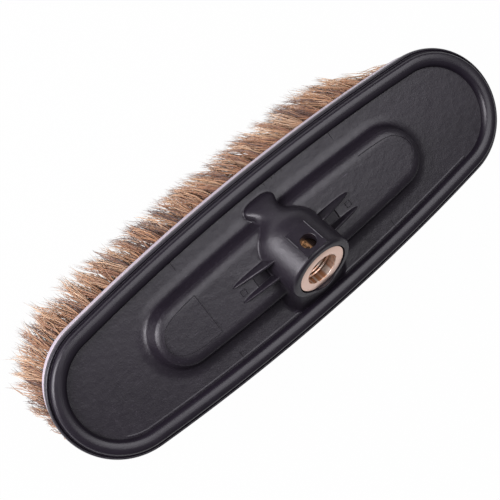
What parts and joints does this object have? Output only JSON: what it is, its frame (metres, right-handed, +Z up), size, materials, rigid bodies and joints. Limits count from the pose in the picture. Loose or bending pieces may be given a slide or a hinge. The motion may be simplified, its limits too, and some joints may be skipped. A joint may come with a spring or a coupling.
{
  "type": "wash brush head",
  "caption": "Oval flow-through wash brush head: black moulded cover with a slanted threaded neck, rubber bumper, pale board and splayed natural-hair tufts.",
  "frame": {"origin": "under the middle of the brush at the level of the tuft tips, the bottom centre of the bounding box", "axes": "+X along the brush, +Z up through the cover, the neck's mouth opens towards -Y and up at 40 degrees"},
  "size_m": [0.3018, 0.1102, 0.1122],
  "materials": {
    "moulded_black_plastic": "moulded black plastic, fine grain, slightly glossy",
    "black_rubber": "smooth black rubber",
    "pale_board": "pale grey-white plastic, satin",
    "copper_brass": "machined copper-coloured brass",
    "seal_rubber": "black sealing rubber",
    "stainless_steel": "bright stainless steel",
    "natural_hair": "coarse brown natural hair with paler tips"
  },
  "bodies": {
    "root": {"top_cover": "moulded_black_plastic", "rubber_bumper": "black_rubber", "bristle_board": "pale_board", "threaded_insert": "copper_brass", "insert_seal": "seal_rubber", "chamber_gasket": "seal_rubber", "board_screw_1": "stainless_steel", "board_screw_2": "stainless_steel", "board_screw_3": "stainless_steel", "board_screw_4": "stainless_steel", "tufts_outer_ring": "natural_hair", "tufts_second_ring": "natural_hair", "tufts_third_ring": "natural_hair", "tufts_inner_row_front": "natural_hair", "tufts_inner_row_rear": "natural_hair"}
  },
  "joints": []
}
